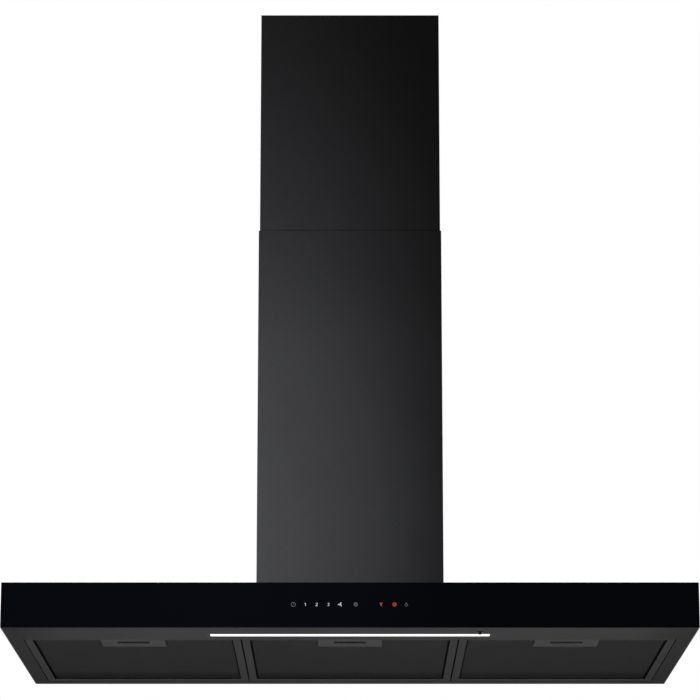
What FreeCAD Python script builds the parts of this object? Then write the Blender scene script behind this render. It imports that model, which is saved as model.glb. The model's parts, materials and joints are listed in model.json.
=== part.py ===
import FreeCAD, Part
import math
import os

# Chimney range hood for a wall, with a flat canopy, three grease filters and a two-part chimney.
# Millimetres. X is right as one faces the hood, +Y is towards the wall, +Z is up.
# The pieces are drawn with the wall in the plane Y = 0 and the canopy's underside at Z = 0.
# On export they move down by half the shell's height, so the origin lies on the wall, in the
# middle of the canopy's back.

Vector = FreeCAD.Vector
X_AXIS = Vector(1, 0, 0)
Y_AXIS = Vector(0, 1, 0)
Z_AXIS = Vector(0, 0, 1)
SIDES = (-1, 1)

# Driving dimensions: canopy
hood_width = 898.0
hood_depth = 500.0
shell_height = 57.5
sheet = 1.0
fit_gap = 0.3
glass_height = 58.5
glass_thickness = 4.0
tape_thickness = 1.0
tape_width = 12.0
channel_depth = 15.0
frame_flange = 20.0
side_rim = 20.25
front_rim = 98.5
back_rim = 20.5
top_hole_width = 190.0
top_hole_margin = 16.0

# Driving dimensions: filters
filter_names = ("left", "centre", "right")
filter_thickness = 11.0
filter_spacing = 2.0
filter_clearance = 1.5
filter_side_border = 10.0
filter_front_border = 5.0
filter_back_border = 18.0
filter_wall = 1.5
filter_lip = 1.2
mesh_recess = 3.0
mesh_layer = 0.5
mesh_layers = 3
front_stop_height = 7.0

# Driving dimensions: filter handles and latches
handle_width = 84.0
handle_skin = 2.0
recess_width = 42.5
recess_depth = 22.5
recess_setback = 16.5
recess_back_radius = 9.0
recess_front_radius = 3.0
latch_width = 60.0
latch_back = 6.0
latch_finger_play = 1.5
latch_travel = 5.0
tongue_width = 30.0
tongue_thickness = 2.0
tongue_reach = 4.0
spring_squeezed = 5.0
spring_radius = 2.2
spring_wire = 0.6

# Driving dimensions: filter hinges
hinge_inset = 30.0
hinge_pin_radius = 2.0
hinge_pin_length = 15.0
running_gap = 0.05
ear_thickness = 3.0
ear_radius = 3.5
ear_play = 0.5
back_flange_height = 15.0

# Driving dimensions: light bar and sensor
light_length = 363.5
light_width = 17.5
light_setback = 63.5
light_cap = 6.0
lens_thickness = 3.0
light_wall = 1.5
light_height = 16.0
led_count = 24
led_size = 3.5
led_height = 1.2
board_thickness = 1.6
sensor_x = 168.0
sensor_setback = 35.5
sensor_radius = 3.0
sensor_ring = 4.5
sensor_ring_thickness = 0.8
sensor_length = 13.0

# Driving dimensions: touch controls
touch_count = 9
touch_pitch = 18.2
touch_height = 29.7
touch_pad_radius = 5.0
control_window_height = 20.0
control_depth = 22.0
control_wall = 2.0
control_margin = 12.0

# Driving dimensions: chimney
chimney_width = 255.0
chimney_depth = 256.0
chimney_sheet = 1.0
chimney_gap = 0.5
lower_chimney_top = 600.0
upper_chimney_length = 500.0
upper_chimney_top = 919.0
chimney_return = 15.0
chimney_tab = 12.0
chimney_tab_length = 60.0
bracket_height = 30.0
bracket_drop = 8.0
bracket_thickness = 2.0
bracket_ear = 40.0
bracket_hole_radius = 3.0
bracket_hole_spacing = 160.0

# Driving dimensions: wall fixing of the canopy
wall_hole_radius = 4.0
wall_hole_spacing = 620.0
wall_hole_height = 38.0

# Driving dimensions: blower
blower_width = 156.0
blower_radius = 100.0
blower_corner = 60.0
blower_headroom = 110.0
casing_wall = 2.0
inlet_radius = 60.0
cutoff_height = 40.0
cutoff_depth = 38.0
cutoff_start = 10.0
impeller_radius = 70.0
impeller_length = 136.0
blade_count = 32
blade_depth = 12.0
blade_thickness = 1.0
impeller_ring = 2.0
hub_plate = 2.0
hub_x = 5.0
hub_radius = 10.0
hub_length = 16.0
shaft_radius = 4.0
motor_radius = 42.0
motor_length = 70.0
motor_wall = 3.0
air_gap = 0.5
rotor_radius = 24.0
rotor_length = 40.0
bearing_radius = 9.0
bearing_width = 7.0
spider_thickness = 2.0
spider_rim = 12.0
spider_arm = 12.0
spider_hub = 30.0
rail_width = 20.0
rail_thickness = 3.0
rail_x = 50.0
rail_overlap = 12.0
spider_arms = 3
bush_radius = 8.0
bush_height = 6.0
bush_y = 30.0

# Driving dimensions: outlet collar and flaps
collar_radius = 74.5
collar_wall = 1.5
collar_height = 55.0
collar_plate = 2.0
boss_size = 12.0
flap_thickness = 1.5
flap_gap = 0.5
flap_height = 16.0
flap_knuckle = 2.6
flap_pin_radius = 1.5
flap_knuckle_length = 22.0
flap_stop = 1.5

# Driving dimensions: power box and wiring
box_length = 160.0
box_depth = 90.0
box_height = 34.0
box_wall = 2.0
box_side_gap = 119.0
box_wall_gap = 105.0
box_board_height = 8.0
capacitor_radius = 9.0
capacitor_length = 50.0
box_post_radius = 3.0
gland_side_gap = 4.5
gland_wall_distance = 40.0
gland_radius = 8.0
gland_flange = 12.0
gland_nut = 6.0
gland_length = 24.0
lead_radius = 2.5

# Driving dimensions: screws
screw_radius = 1.9
screw_hole_gap = 0.1
screw_head_radius = 3.6
screw_head_height = 2.2
screw_length = 6.0
bush_screw_length = 14.0
boss_screw_length = 8.0
frame_screw_stations = (0.1, 0.45, 0.8)

# Derived places
front_y = -hood_depth
shell_front_y = front_y + glass_thickness + tape_thickness
shell_half = hood_width / 2
shell_inner = shell_half - sheet
top_z = shell_height
ceiling_z = shell_height - sheet
frame_half = shell_inner - fit_gap
frame_back_y = -sheet - fit_gap
origin_height = shell_height / 2

filter_count = len(filter_names)
aperture_half = shell_half - side_rim
aperture_back_y = -back_rim
aperture_front_y = front_y + front_rim
filter_pitch = (2 * (aperture_half - filter_clearance) + filter_spacing) / filter_count
filter_width = filter_pitch - filter_spacing
filter_back_y = aperture_back_y - filter_clearance
filter_front_y = aperture_front_y + filter_clearance
nose_radius = filter_thickness / 2
hinge_y = filter_back_y - nose_radius
hinge_z = nose_radius
bridge_z = filter_thickness - filter_lip
notch_depth = ear_radius + fit_gap * 2
latch_window_end = recess_setback + recess_depth + latch_finger_play
spring_start = latch_window_end + latch_back
handle_depth = spring_start + latch_travel + spring_squeezed + handle_skin

chimney_half = chimney_width / 2
chimney_front_y = -chimney_depth
upper_half = chimney_half - chimney_sheet - chimney_gap
upper_front_y = chimney_front_y + chimney_sheet + chimney_gap
upper_bottom = upper_chimney_top - upper_chimney_length
chimney_centre_y = chimney_front_y / 2
bracket_top = upper_chimney_top - bracket_drop
bracket_z = bracket_top - bracket_height / 2
bracket_half = upper_half - chimney_sheet - fit_gap

rail_top = top_z + rail_thickness
casing_bottom = rail_top + bush_height
impeller_y = chimney_centre_y
impeller_z = casing_bottom + blower_radius
casing_top = impeller_z + blower_headroom
casing_half = blower_width / 2
collar_base = casing_top + collar_plate
collar_top = collar_base + collar_height
collar_bore = collar_radius - collar_wall
flap_z = collar_base + flap_height
blade_ring = impeller_radius - blade_depth
motor_start = -casing_half
motor_end = motor_start + motor_length
motor_middle = (motor_start + motor_end) / 2
bearing_starts = (motor_start + motor_wall, motor_end - motor_wall - bearing_width)

light_y = front_y + light_setback
light_half = light_length / 2
light_slot_half = light_half + light_cap + fit_gap
light_slot_width = light_width + 2 * fit_gap
sensor_y = front_y + sensor_setback
touch_half = (touch_count - 1) * touch_pitch / 2
window_half = touch_half + touch_pad_radius + fit_gap * 4

box_start_x = box_side_gap - shell_half
box_start_y = -box_wall_gap - box_depth
box_x = box_start_x + box_length / 2
box_y = box_start_y + box_depth / 2
box_bottom = ceiling_z - box_height
box_board_z = ceiling_z - box_wall - box_board_height
gland_x = gland_flange + gland_side_gap + chimney_sheet - chimney_half
gland_y = -gland_wall_distance

frame_screw_length = 2 * sheet + fit_gap
control_screw_length = control_wall + sheet


# Building blocks

def block(x0, x1, y0, y1, z0, z1):
    return Part.makeBox(x1 - x0, y1 - y0, z1 - z0, Vector(x0, y0, z0))


def rod(radius, start, axis, length):
    return Part.makeCylinder(radius, length, Vector(*start), axis)


def tube(outer, inner, start, axis, length):
    return rod(outer, start, axis, length).cut(rod(inner, start, axis, length))


def side_block(side, x_out, x_in, y0, y1, z0, z1):
    """A block on one side of the middle: x_out and x_in are its distances from it."""
    return block(min(side * x_out, side * x_in), max(side * x_out, side * x_in), y0, y1, z0, z1)


def fuse(shapes):
    joined = shapes[0].multiFuse(shapes[1:]) if len(shapes) > 1 else shapes[0]
    return joined.removeSplitter()


def cut(shape, tools):
    for tool in tools:
        shape = shape.cut(tool)
    return shape


def lengthwise(shape, axis):
    """The straight edges of a shape that run along an axis."""
    return [
        edge for edge in shape.Edges
        if edge.Curve.TypeId == "Part::GeomLine" and edge.Curve.Direction.cross(axis).Length < fit_gap
    ]


def side_plate(points, x0, x1):
    """A plate with its outline (y, z) across the X axis, from x0 to x1."""
    corners = [Vector(x0, y, z) for y, z in points]
    face = Part.Face(Part.makePolygon(corners + corners[:1]))
    return face.extrude(Vector(x1 - x0, 0, 0))


def open_box(x0, x1, y0, y1, z0, z1, wall):
    """A tray with a closed top and an open underside."""
    return block(x0, x1, y0, y1, z0, z1).cut(
        block(x0 + wall, x1 - wall, y0 + wall, y1 - wall, z0 - wall, z1 - wall)
    )


def screw(head_seat, axis, length=screw_length):
    """A pan-head screw: its head stands on head_seat and its shank points along axis."""
    seat = Vector(*head_seat)
    head = Part.makeCylinder(screw_head_radius, screw_head_height, seat - axis * screw_head_height, axis)
    return head.fuse(Part.makeCylinder(screw_radius, length, seat, axis)).removeSplitter()


def screw_hole(seat, axis, length=screw_length):
    start = Vector(*seat) - axis * fit_gap
    return Part.makeCylinder(screw_radius + screw_hole_gap, length + 2 * fit_gap, start, axis)


def save(name, solids):
    shape = Part.makeCompound(solids) if isinstance(solids, list) else solids
    shape = shape.copy()
    shape.translate(Vector(0, 0, -origin_height))
    shape.exportStep(os.path.join("parts", name + ".step"))


# Fasteners: each place is the head's seat and the way the shank points

def frame_screw_places():
    """Through the bottom frame's side flanges into the shell's walls, seen from inside."""
    height = (frame_flange + screw_head_radius) / 2
    seat = frame_half - sheet
    return [
        ((side * seat, shell_front_y * station, height), X_AXIS * side)
        for side in SIDES for station in frame_screw_stations
    ]


def tab_screw_places():
    """Down through the lower chimney's tabs into the shell's top."""
    x = chimney_half - chimney_sheet - chimney_tab / 2
    return [((side * x, chimney_centre_y, top_z + chimney_sheet), -Z_AXIS) for side in SIDES]


def bush_places():
    return [(side * rail_x, impeller_y + way * bush_y) for side in SIDES for way in SIDES]


def bush_screw_places():
    """Up through rail and bush into the casing's floor."""
    return [((x, y, top_z), Z_AXIS) for x, y in bush_places()]


def collar_screw_places():
    x = casing_half - casing_wall - boss_size / 2
    reach = blower_radius - casing_wall - boss_size / 2
    return [
        ((side * x, impeller_y + way * reach, collar_base), -Z_AXIS) for side in SIDES for way in SIDES
    ]


def spider_screw_places(side):
    """Round one inlet, through the ring into the casing's side wall."""
    ring = inlet_radius + spider_rim / 2
    places = []
    for step in range(spider_arms):
        angle = math.pi / 2 + 2 * math.pi * step / spider_arms
        y = impeller_y + ring * math.cos(angle)
        z = impeller_z + ring * math.sin(angle)
        places.append(((side * (casing_half + spider_thickness), y, z), X_AXIS * -side))
    return places


def bracket_screw_places():
    """Through the upper chimney's sides into the wall bracket's ears."""
    y = -(bracket_ear + bracket_thickness) / 2
    return [((side * upper_half, y, bracket_z), X_AXIS * -side) for side in SIDES]


def control_screw_places():
    """Through the control housing's ears into the front channel."""
    x = window_half + control_margin + control_wall + screw_head_radius
    seat = shell_front_y + sheet + control_wall
    return [((side * x, seat, touch_height), -Y_AXIS) for side in SIDES]


def holes_for(places, length=screw_length):
    return [screw_hole(seat, axis, length) for seat, axis in places]


# Canopy

def canopy_shell():
    outer = block(-shell_half, shell_half, shell_front_y, 0, 0, top_z)
    inner = block(-shell_inner, shell_inner, shell_front_y - sheet, -sheet, -sheet, ceiling_z)
    top_hole = block(
        -top_hole_width / 2, top_hole_width / 2,
        chimney_front_y + top_hole_margin, -top_hole_margin, ceiling_z - sheet, top_z + sheet,
    )
    wall_holes = [
        rod(wall_hole_radius, (side * wall_hole_spacing / 2, -2 * sheet, wall_hole_height), Y_AXIS, 3 * sheet)
        for side in SIDES
    ]
    gland_hole = rod(gland_radius + running_gap, (gland_x, gland_y, ceiling_z - sheet), Z_AXIS, 3 * sheet)
    holes = holes_for(frame_screw_places() + tab_screw_places())
    return cut(outer, [inner, top_hole, gland_hole] + wall_holes + holes)


def bottom_frame():
    plate = block(-frame_half, frame_half, shell_front_y, frame_back_y, 0, sheet)
    side_flanges = [
        side_block(side, frame_half, frame_half - sheet,
                   shell_front_y + channel_depth + fit_gap, frame_back_y, 0, frame_flange)
        for side in SIDES
    ]
    rim = block(
        -aperture_half - sheet, aperture_half + sheet,
        aperture_front_y - sheet, aperture_back_y + sheet, 0, front_stop_height,
    )
    back_flange = block(
        -aperture_half - sheet, aperture_half + sheet, aperture_back_y, aperture_back_y + sheet,
        0, back_flange_height,
    )
    aperture = block(-aperture_half, aperture_half, aperture_front_y, aperture_back_y,
                     -sheet, back_flange_height + sheet)
    light_slot = block(-light_slot_half, light_slot_half, light_y - light_slot_width / 2,
                       light_y + light_slot_width / 2, -sheet, 2 * sheet)
    sensor_hole = rod(sensor_radius + running_gap, (sensor_x, sensor_y, -sheet), Z_AXIS, 3 * sheet)
    body = fuse([plate, rim, back_flange] + side_flanges)
    return cut(body, [aperture, light_slot, sensor_hole] + holes_for(frame_screw_places()))


def front_channel():
    half = frame_half
    back = shell_front_y + channel_depth
    web = block(-half, half, shell_front_y, shell_front_y + sheet, sheet, ceiling_z)
    top = block(-half, half, shell_front_y, back, ceiling_z - sheet, ceiling_z)
    bottom = block(-half, half, shell_front_y, back, sheet, 2 * sheet)
    window = block(-window_half, window_half, shell_front_y - sheet, shell_front_y + 2 * sheet,
                   touch_height - control_window_height / 2, touch_height + control_window_height / 2)
    return cut(fuse([web, top, bottom]), [window] + holes_for(control_screw_places()))


def front_glass():
    return block(-shell_half, shell_half, front_y, front_y + glass_thickness, 0, glass_height)


def glass_tape():
    y0 = front_y + glass_thickness
    return [
        block(-frame_half, frame_half, y0, shell_front_y, z0, z0 + tape_width)
        for z0 in (2 * sheet, ceiling_z - sheet - tape_width)
    ]


# Touch controls behind the glass

def control_housing():
    half = window_half + control_margin
    half_height = control_window_height / 2 + control_wall + fit_gap
    y0 = shell_front_y + sheet
    z0 = touch_height - half_height
    z1 = touch_height + half_height
    room = block(-half + control_wall, half - control_wall,
                 y0 - control_wall, y0 + control_depth - control_wall,
                 z0 + control_wall, z1 - control_wall)
    shell = block(-half, half, y0, y0 + control_depth, z0, z1).cut(room)
    ear_half = half + 2 * (control_wall + screw_head_radius)
    ears = [side_block(side, half, ear_half, y0, y0 + control_wall, z0, z1) for side in SIDES]
    return cut(fuse([shell] + ears), holes_for(control_screw_places()))


def control_board():
    half = window_half + control_margin - control_wall
    y0 = shell_front_y + sheet + fit_gap
    return block(-half, half, y0, y0 + board_thickness,
                 touch_height - control_window_height / 2, touch_height + control_window_height / 2)


def touch_pads():
    """Foam-backed electrodes that bridge the board and the glass."""
    y0 = front_y + glass_thickness
    length = shell_front_y + sheet + fit_gap - y0
    return [
        rod(touch_pad_radius, (-touch_half + step * touch_pitch, y0, touch_height), Y_AXIS, length)
        for step in range(touch_count)
    ]


# Light bar and sensor

def light_lens():
    return block(-light_half, light_half, light_y - light_width / 2, light_y + light_width / 2,
                 0, lens_thickness)


def light_end_caps():
    return [
        side_block(side, light_half, light_half + light_cap,
                   light_y - light_width / 2, light_y + light_width / 2, 0, lens_thickness)
        for side in SIDES
    ]


def light_housing():
    """A lid over the slot: it stands on the frame, and the lens and caps sit under its walls."""
    half = light_slot_half + 2 * light_wall
    half_width = light_slot_width / 2 + 2 * light_wall
    lid = open_box(-half, half, light_y - half_width, light_y + half_width, sheet, light_height, light_wall)
    ledge_z = lens_thickness
    inner = light_half + light_cap - 2 * light_wall
    inner_width = light_width / 2 - light_wall
    ledge = block(-half + light_wall, half - light_wall, light_y - half_width + light_wall,
                  light_y + half_width - light_wall, ledge_z, ledge_z + light_wall)
    ledge = ledge.cut(block(-inner, inner, light_y - inner_width, light_y + inner_width,
                            ledge_z - light_wall, ledge_z + 2 * light_wall))
    return fuse([lid, ledge])


def led_board():
    z1 = light_height - light_wall
    return block(-light_half + light_wall, light_half - light_wall, light_y - light_width / 2 + light_wall,
                 light_y + light_width / 2 - light_wall, z1 - board_thickness, z1)


def leds():
    z1 = light_height - light_wall - board_thickness
    pitch = (light_length - 2 * light_wall) / led_count
    half = led_size / 2
    places = [-light_half + light_wall + pitch * (step + 0.5) for step in range(led_count)]
    return [block(x - half, x + half, light_y - half, light_y + half, z1 - led_height, z1) for x in places]


def link_sensor():
    ring = rod(sensor_ring, (sensor_x, sensor_y, -sensor_ring_thickness), Z_AXIS, sensor_ring_thickness)
    stem = rod(sensor_radius, (sensor_x, sensor_y, -sensor_ring_thickness), Z_AXIS, sensor_length)
    dome = Part.makeSphere(sensor_radius, Vector(sensor_x, sensor_y, -sensor_ring_thickness))
    return fuse([ring, stem, dome])


# Grease filters: each is drawn with its middle at x

def handle_block(x, height):
    return block(x - handle_width / 2, x + handle_width / 2, filter_front_y, filter_front_y + handle_depth,
                 0, height)


def hinge_places(x):
    reach = filter_width / 2 - hinge_inset
    return [x - reach, x + reach]


def filter_frame(x):
    half = filter_width / 2
    y0 = filter_front_y
    y1 = hinge_y
    outer = block(x - half, x + half, y0, y1, 0, filter_thickness)
    nose = rod(nose_radius, (x - half, hinge_y, hinge_z), X_AXIS, filter_width)
    inner_half = half - filter_side_border
    opening = block(x - inner_half, x + inner_half, y0 + filter_front_border,
                    filter_back_y - filter_back_border, -filter_lip, filter_thickness + filter_lip)
    groove = block(x - half + filter_wall, x + half - filter_wall, y0 + filter_wall,
                   filter_back_y - filter_back_border + filter_wall, filter_lip, bridge_z)
    body = fuse([outer, nose])
    body = cut(body, [opening, groove, handle_block(x, bridge_z)])
    bridge = block(x - handle_width / 2 - filter_wall, x + handle_width / 2 + filter_wall,
                   y0, y0 + handle_depth + filter_wall, bridge_z, filter_thickness)
    body = fuse([body, bridge])
    notches = []
    for place in hinge_places(x):
        reach = ear_thickness / 2 + ear_play
        notches.append(block(place - reach, place + reach, hinge_y - notch_depth, filter_back_y + fit_gap,
                             -filter_lip, filter_thickness + filter_lip))
        bore = hinge_pin_length + 2 * fit_gap
        start = (place - bore / 2, hinge_y, hinge_z)
        notches.append(rod(hinge_pin_radius + running_gap, start, X_AXIS, bore))
    return cut(body, notches)


def filter_mesh(x):
    """Stacked sheets of metal mesh, held by the frame's walls and cut round the handle."""
    half = filter_width / 2 - filter_wall
    y0 = filter_front_y + filter_wall
    y1 = filter_back_y - filter_back_border + filter_wall
    room = bridge_z - mesh_recess - mesh_layer
    layers = []
    for step in range(mesh_layers):
        z0 = mesh_recess + room * step / (mesh_layers - 1)
        sheet_layer = block(x - half, x + half, y0, y1, z0, z0 + mesh_layer)
        layers.append(sheet_layer.cut(handle_block(x, filter_thickness)))
    return layers


def filter_handle(x):
    y0 = filter_front_y
    body = handle_block(x, bridge_z)
    cavity_half = latch_width / 2 + fit_gap
    cavity = block(x - cavity_half, x + cavity_half, y0 + handle_skin, y0 + handle_depth - handle_skin,
                   handle_skin, bridge_z + handle_skin)
    recess = block(x - recess_width / 2, x + recess_width / 2, y0 + recess_setback,
                   y0 + recess_setback + recess_depth, -handle_skin, handle_skin + fit_gap)
    back = y0 + recess_setback + recess_depth / 2
    recess = recess.makeFillet(recess_back_radius, [
        edge for edge in lengthwise(recess, Z_AXIS) if edge.CenterOfMass.y > back
    ])
    recess = recess.makeFillet(recess_front_radius, [
        edge for edge in lengthwise(recess, Z_AXIS) if edge.CenterOfMass.y < y0 + recess_setback + fit_gap
    ])
    slot_half = tongue_width / 2 + fit_gap
    slot = block(x - slot_half, x + slot_half, y0 - handle_skin, y0 + handle_skin + fit_gap,
                 front_stop_height, bridge_z + handle_skin)
    return cut(body, [cavity, recess, slot])


def filter_latch(x):
    """A sliding plate: tongue in front, a window for the finger, and the bar that the finger pulls."""
    y0 = filter_front_y
    z0 = handle_skin + fit_gap
    z1 = bridge_z - fit_gap
    half = latch_width / 2
    window_y0 = y0 + recess_setback - latch_finger_play
    window_y1 = y0 + latch_window_end
    plate_y0 = y0 + handle_skin + fit_gap
    plate = block(x - half, x + half, plate_y0, y0 + spring_start, z0, z1)
    window_half_width = recess_width / 2 + latch_finger_play
    window = block(x - window_half_width, x + window_half_width, window_y0, window_y1, 0, filter_thickness)
    tongue_z = front_stop_height + fit_gap
    tongue = block(x - tongue_width / 2, x + tongue_width / 2, y0 - tongue_reach, (plate_y0 + window_y0) / 2,
                   tongue_z, tongue_z + tongue_thickness)
    return fuse([plate, tongue]).cut(window)


def latch_spring(x):
    start = filter_front_y + spring_start
    length = latch_travel + spring_squeezed
    z = (handle_skin + bridge_z) / 2
    return tube(spring_radius, spring_radius - spring_wire, (x, start, z), Y_AXIS, length)


def hinge_brackets():
    ears = []
    for x in filter_centres():
        for place in hinge_places(x):
            x0 = place - ear_thickness / 2
            round_end = rod(ear_radius, (x0, hinge_y, hinge_z), X_AXIS, ear_thickness)
            arm = block(x0, x0 + ear_thickness, hinge_y - ear_radius, aperture_back_y,
                        hinge_z, back_flange_height)
            bore = rod(hinge_pin_radius + running_gap / 2, (x0 - sheet, hinge_y, hinge_z), X_AXIS,
                       ear_thickness + 2 * sheet)
            ears.append(fuse([round_end, arm]).cut(bore))
    return ears


def hinge_pins():
    return [
        rod(hinge_pin_radius, (place - hinge_pin_length / 2, hinge_y, hinge_z), X_AXIS, hinge_pin_length)
        for x in filter_centres() for place in hinge_places(x)
    ]


def filter_centres():
    return [filter_pitch * (step - (filter_count - 1) / 2) for step in range(filter_count)]


# Chimney

def chimney_cover(half, front, z0, z1):
    outer = block(-half, half, front, 0, z0, z1)
    inner = block(-half + chimney_sheet, half - chimney_sheet, front + chimney_sheet, chimney_sheet,
                  z0 - chimney_sheet, z1 + chimney_sheet)
    return outer.cut(inner)


def lower_chimney():
    cover = chimney_cover(chimney_half, chimney_front_y, top_z, lower_chimney_top)
    inner = chimney_half - chimney_sheet
    tabs = [
        side_block(side, inner, inner - chimney_tab,
                   chimney_centre_y - chimney_tab_length / 2, chimney_centre_y + chimney_tab_length / 2,
                   top_z, top_z + chimney_sheet)
        for side in SIDES
    ]
    return cut(fuse([cover] + tabs), holes_for(tab_screw_places()))


def upper_chimney():
    cover = chimney_cover(upper_half, upper_front_y, upper_bottom, upper_chimney_top)
    inner = upper_half - chimney_sheet
    returns = [
        side_block(side, inner, inner - chimney_return,
                   -chimney_sheet, 0, upper_bottom, bracket_top - bracket_height - fit_gap)
        for side in SIDES
    ]
    return cut(fuse([cover] + returns), holes_for(bracket_screw_places()))


def chimney_bracket():
    z0 = bracket_top - bracket_height
    back = block(-bracket_half, bracket_half, -bracket_thickness, 0, z0, bracket_top)
    ears = [
        side_block(side, bracket_half, bracket_half - bracket_thickness, -bracket_ear, 0, z0, bracket_top)
        for side in SIDES
    ]
    wall_holes = [
        rod(bracket_hole_radius, (side * bracket_hole_spacing / 2, -2 * bracket_thickness, bracket_z),
            Y_AXIS, 3 * bracket_thickness)
        for side in SIDES
    ]
    return cut(fuse([back] + ears), wall_holes + holes_for(bracket_screw_places()))


# Blower

def casing_outline(radius, corner, bottom, top, x0, x1):
    """A chamber with rounded bottom corners round the impeller's axis."""
    shape = block(x0, x1, impeller_y - radius, impeller_y + radius, bottom, top)
    return shape.makeFillet(corner, [
        edge for edge in lengthwise(shape, X_AXIS) if edge.CenterOfMass.z < bottom + fit_gap
    ])


def casing_half_shell(side):
    x0 = min(0, side * casing_half)
    x1 = max(0, side * casing_half)
    inner_x0 = x0 + (casing_wall if side < 0 else -casing_wall)
    inner_x1 = x1 - (casing_wall if side > 0 else -casing_wall)
    outer = casing_outline(blower_radius, blower_corner, casing_bottom, casing_top, x0, x1)
    inner = casing_outline(blower_radius - casing_wall, blower_corner - casing_wall,
                           casing_bottom + casing_wall, casing_top + casing_wall, inner_x0, inner_x1)
    wall_x = side * casing_half
    inlet = rod(inlet_radius, (wall_x - 2 * casing_wall, impeller_y, impeller_z), X_AXIS, 4 * casing_wall)
    back = impeller_y + blower_radius - casing_wall
    low = impeller_z + cutoff_start
    boss_out = casing_half - casing_wall
    cutoff = side_plate(
        [(back, low), (back, low + 2 * cutoff_height), (back - cutoff_depth, low + cutoff_height)],
        min(0, side * boss_out), max(0, side * boss_out),
    )
    bosses = []
    for way in SIDES:
        near = impeller_y + way * (blower_radius - casing_wall)
        far = near - way * boss_size
        bosses.append(side_block(side, boss_out, boss_out - boss_size,
                                 min(near, far), max(near, far), casing_top - boss_size, casing_top))
    body = fuse([cut(outer, [inner, inlet]), cutoff] + bosses)
    holes = holes_for(collar_screw_places(), boss_screw_length) + holes_for(spider_screw_places(side))
    return cut(body, holes + holes_for(bush_screw_places(), bush_screw_length))


def impeller():
    """Two end rings and a hub disc that carry the blades between them."""
    start = -impeller_length / 2
    blade_start = start + impeller_ring
    rings = [
        tube(impeller_radius, blade_ring, (x, impeller_y, impeller_z), X_AXIS, impeller_ring)
        for x in (start, -blade_start)
    ]
    disc = rod(blade_ring, (hub_x, impeller_y, impeller_z), X_AXIS, hub_plate)
    hub = rod(hub_radius, (hub_x, impeller_y, impeller_z), X_AXIS, hub_length)
    bore = rod(shaft_radius + running_gap / 2, (hub_x - hub_plate, impeller_y, impeller_z), X_AXIS,
               2 * hub_length)
    wheel = fuse([disc, hub]).cut(bore)
    blades = []
    for step in range(blade_count):
        blade = block(blade_start, -blade_start, -blade_thickness / 2, blade_thickness / 2,
                      blade_ring, impeller_radius)
        blade.rotate(Vector(0, 0, 0), X_AXIS, 360 * step / blade_count)
        blade.translate(Vector(0, impeller_y, impeller_z))
        blades.append(blade)
    return rings + [wheel] + blades


def motor_shaft():
    start = motor_start + motor_wall
    length = hub_x + hub_length - start
    return rod(shaft_radius, (start, impeller_y, impeller_z), X_AXIS, length)


def motor_housing():
    start = (motor_start, impeller_y, impeller_z)
    can = rod(motor_radius, start, X_AXIS, motor_length)
    room = rod(motor_radius - motor_wall, (motor_start + motor_wall, impeller_y, impeller_z), X_AXIS,
               motor_length - 2 * motor_wall)
    can = can.cut(room)
    seats = [
        tube(bearing_radius + motor_wall, bearing_radius + running_gap / 2, (x, impeller_y, impeller_z),
             X_AXIS, bearing_width)
        for x in bearing_starts
    ]
    shaft_exit = rod(shaft_radius + 4 * fit_gap, (motor_end - 2 * motor_wall, impeller_y, impeller_z),
                     X_AXIS, 4 * motor_wall)
    return fuse([can] + seats).cut(shaft_exit)


def motor_bearings():
    return [
        tube(bearing_radius, shaft_radius + running_gap, (x, impeller_y, impeller_z), X_AXIS, bearing_width)
        for x in bearing_starts
    ]


def motor_stator():
    start = motor_middle - rotor_length / 2
    return tube(motor_radius - motor_wall, rotor_radius + air_gap, (start, impeller_y, impeller_z),
                X_AXIS, rotor_length)


def motor_rotor():
    start = motor_middle - rotor_length / 2
    return tube(rotor_radius, shaft_radius, (start, impeller_y, impeller_z), X_AXIS, rotor_length)


def inlet_spider(side, hub):
    """A ring round an inlet with arms to a disc on the axis."""
    x0 = min(side * casing_half, side * (casing_half + spider_thickness))
    centre = (x0, impeller_y, impeller_z)
    ring = tube(inlet_radius + spider_rim, inlet_radius, centre, X_AXIS, spider_thickness)
    disc = rod(hub, centre, X_AXIS, spider_thickness)
    arms = []
    for step in range(spider_arms):
        arm = block(x0, x0 + spider_thickness, -spider_arm / 2, spider_arm / 2,
                    0, inlet_radius + spider_thickness)
        arm.rotate(Vector(0, 0, 0), X_AXIS, 360 * step / spider_arms)
        arm.translate(Vector(0, impeller_y, impeller_z))
        arms.append(arm)
    return fuse([ring, disc] + arms).cut(Part.makeCompound(holes_for(spider_screw_places(side))))


def blower_rails():
    y0 = chimney_front_y + top_hole_margin - rail_overlap
    y1 = rail_overlap - top_hole_margin
    rails = []
    for side in SIDES:
        rail = block(side * rail_x - rail_width / 2, side * rail_x + rail_width / 2, y0, y1, top_z, rail_top)
        rails.append(cut(rail, holes_for(bush_screw_places(), bush_screw_length)))
    return rails


def blower_bushes():
    return [
        tube(bush_radius, screw_radius + screw_hole_gap, (x, y, rail_top), Z_AXIS, bush_height)
        for x, y in bush_places()
    ]


# Outlet collar and non-return flaps

def outlet_collar():
    plate = block(-casing_half, casing_half, impeller_y - blower_radius, impeller_y + blower_radius,
                  casing_top, collar_base)
    ring = rod(collar_radius, (0, impeller_y, casing_top), Z_AXIS, collar_top - casing_top)
    bore = rod(collar_bore, (0, impeller_y, casing_top - collar_plate), Z_AXIS,
               collar_height + 3 * collar_plate)
    stop_top = flap_z - flap_knuckle
    stop = tube(collar_bore + collar_wall / 2, collar_bore - flap_stop, (0, impeller_y, stop_top - flap_stop),
                Z_AXIS, flap_stop)
    body = fuse([fuse([plate, ring]).cut(bore), stop])
    pin_holes = rod(flap_pin_radius + running_gap / 2, (0, impeller_y - 2 * collar_radius, flap_z),
                    Y_AXIS, 4 * collar_radius)
    return cut(body, [pin_holes] + holes_for(collar_screw_places(), boss_screw_length))


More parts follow.
